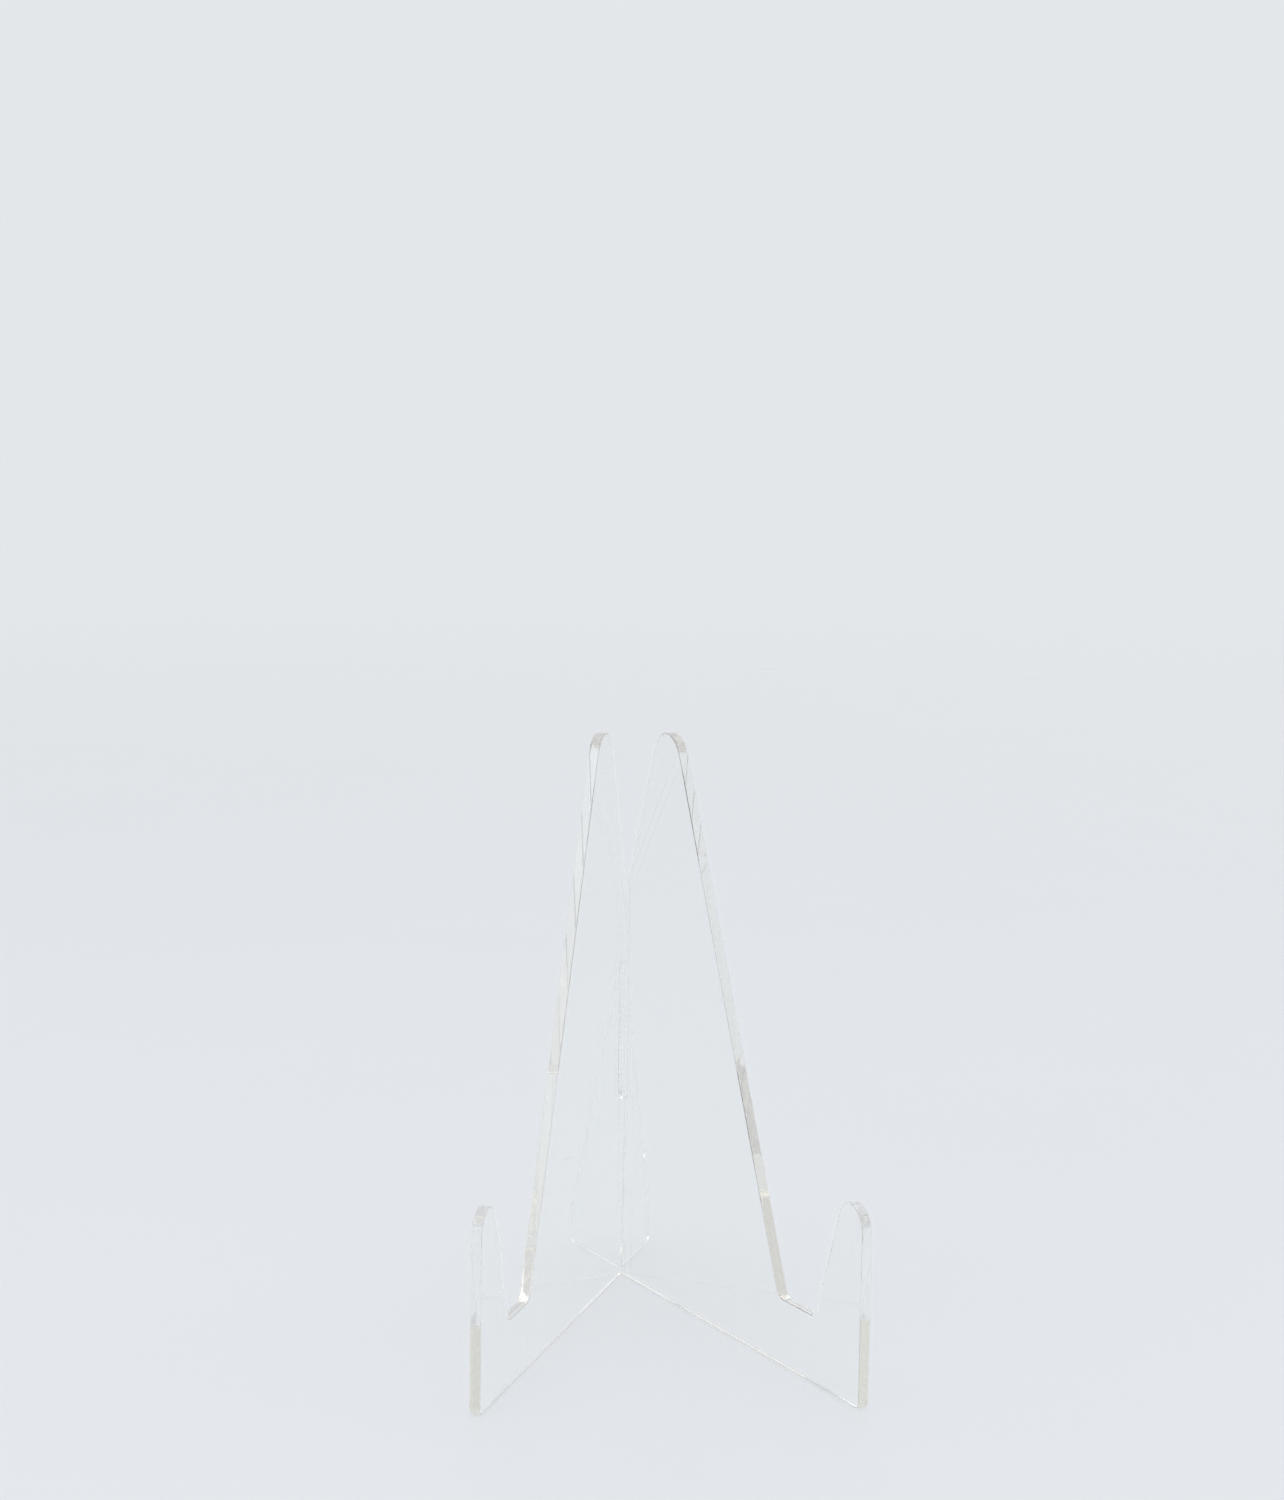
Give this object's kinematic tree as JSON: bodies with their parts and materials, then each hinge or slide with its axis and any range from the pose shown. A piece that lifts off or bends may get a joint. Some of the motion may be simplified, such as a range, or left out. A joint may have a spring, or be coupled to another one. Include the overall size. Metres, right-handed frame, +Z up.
{
  "type": "plate display stand",
  "caption": "Clear acrylic plate stand: flat panels on edge, slotted together in an X, with rounded front prongs, a flat seat and tall leaning arms.",
  "frame": {"origin": "middle of the footprint, on the surface that the stand rests on", "axes": "+Z up; the prongs face -Y; +X to the right as seen from the front; the panels lie at equal angles either side of the YZ plane"},
  "size_m": [0.1066, 0.1794, 0.168],
  "materials": {
    "clear_acrylic": "clear, flame-polished edges"
  },
  "bodies": {
    "left_panel": {"left_panel": "clear_acrylic"},
    "right_panel": {"right_panel": "clear_acrylic"}
  },
  "joints": [
    {"name": "spread", "type": "hinge", "parent": "left_panel", "child": "right_panel", "pos_m": [0, 0.05356, 0], "axis": [0, 0, 1], "range_deg": [-4, 104]}
  ]
}
